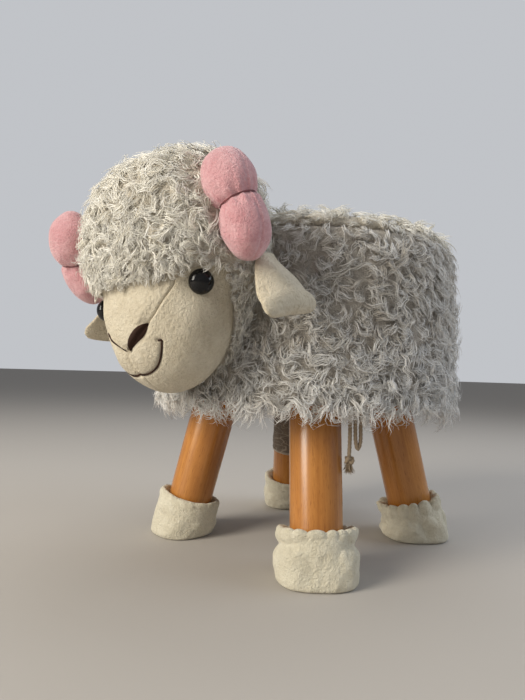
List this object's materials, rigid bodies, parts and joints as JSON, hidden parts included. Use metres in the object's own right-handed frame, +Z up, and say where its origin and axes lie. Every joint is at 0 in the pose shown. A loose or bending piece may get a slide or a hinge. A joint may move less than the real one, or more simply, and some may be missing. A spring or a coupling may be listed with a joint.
{
  "type": "animal footstool",
  "caption": "Plush sheep footstool: round padded fur-covered drum seat on four splayed wooden legs in fleece booties, with a stuffed head.",
  "frame": {"origin": "on the floor, at the centre of the part's bounding box seen from above", "axes": "+Z up, the sheep faces -Y, its own left side is towards +X"},
  "size_m": [0.3262, 0.4276, 0.3808],
  "materials": {
    "wool_pile": "long curly off-white pile",
    "cream_velour": "short cream velour pile",
    "pink_velour": "short pink velour pile",
    "bootie_fleece": "crinkled cream fleece",
    "beech": "glossy clear varnish over stained beech",
    "plywood": "sanded, unfinished",
    "seat_foam": "open-cell foam, matt",
    "fibre_filling": "loose polyester fibre",
    "eye_black": "mirror-smooth black",
    "washer_white": "moulded, matt",
    "nose_stitching": "dark brown satin stitch",
    "cinch_thread": "tight dark pink thread",
    "cuff_elastic": "woven flat elastic",
    "zinc_steel": "bright zinc plate",
    "grey_sleeve": "crinkled translucent grey film",
    "beige_cord": "soft twisted beige cord"
  },
  "bodies": {
    "stool": {"base_board": "plywood", "bootie_front_left": "bootie_fleece", "bootie_front_right": "bootie_fleece", "bootie_rear_left": "bootie_fleece", "bootie_rear_right": "bootie_fleece", "cheek_left": "cream_velour", "cheek_right": "cream_velour", "cover_hem": "wool_pile", "cover_side": "wool_pile", "cover_top": "wool_pile", "cuff_elastic_front_left": "cuff_elastic", "cuff_elastic_front_right": "cuff_elastic", "cuff_elastic_rear_left": "cuff_elastic", "cuff_elastic_rear_right": "cuff_elastic", "drawstring": "beige_cord", "drawstring_knot": "beige_cord", "drum_wall": "plywood", "eye_left": "eye_black", "eye_right": "eye_black", "eye_washer_left": "washer_white", "eye_washer_right": "washer_white", "hanger_bolt_front_left": "zinc_steel", "hanger_bolt_front_right": "zinc_steel", "hanger_bolt_rear_left": "zinc_steel", "hanger_bolt_rear_right": "zinc_steel", "head_cap": "wool_pile", "head_stuffing": "fibre_filling", "horn_cinch_left": "cinch_thread", "horn_cinch_right": "cinch_thread", "horn_left": "pink_velour", "horn_right": "pink_velour", "leg_front_left": "beech", "leg_front_right": "beech", "leg_rear_left": "beech", "leg_rear_right": "beech", "leg_sleeve": "grey_sleeve", "muzzle_gusset": "cream_velour", "nose_stitching": "nose_stitching", "seat_pad": "seat_foam", "side_foam": "seat_foam", "smile_stitching": "nose_stitching", "tee_nut_front_left": "zinc_steel", "tee_nut_front_right": "zinc_steel", "tee_nut_rear_left": "zinc_steel", "tee_nut_rear_right": "zinc_steel", "top_board": "plywood"},
    "left_ear": {"ear_left": "cream_velour"},
    "right_ear": {"ear_right": "cream_velour"}
  },
  "joints": [
    {"name": "left_ear_flap", "type": "hinge", "parent": "stool", "child": "left_ear", "pos_m": [0.08614, -0.115, 0.28271], "axis": [-0.1647, -0.9833, -0.0771], "range_deg": [-15, 20]},
    {"name": "right_ear_flap", "type": "hinge", "parent": "stool", "child": "right_ear", "pos_m": [-0.09042, -0.12345, 0.26177], "axis": [0.0681, 0.977, -0.2023], "range_deg": [-15, 35]}
  ]
}
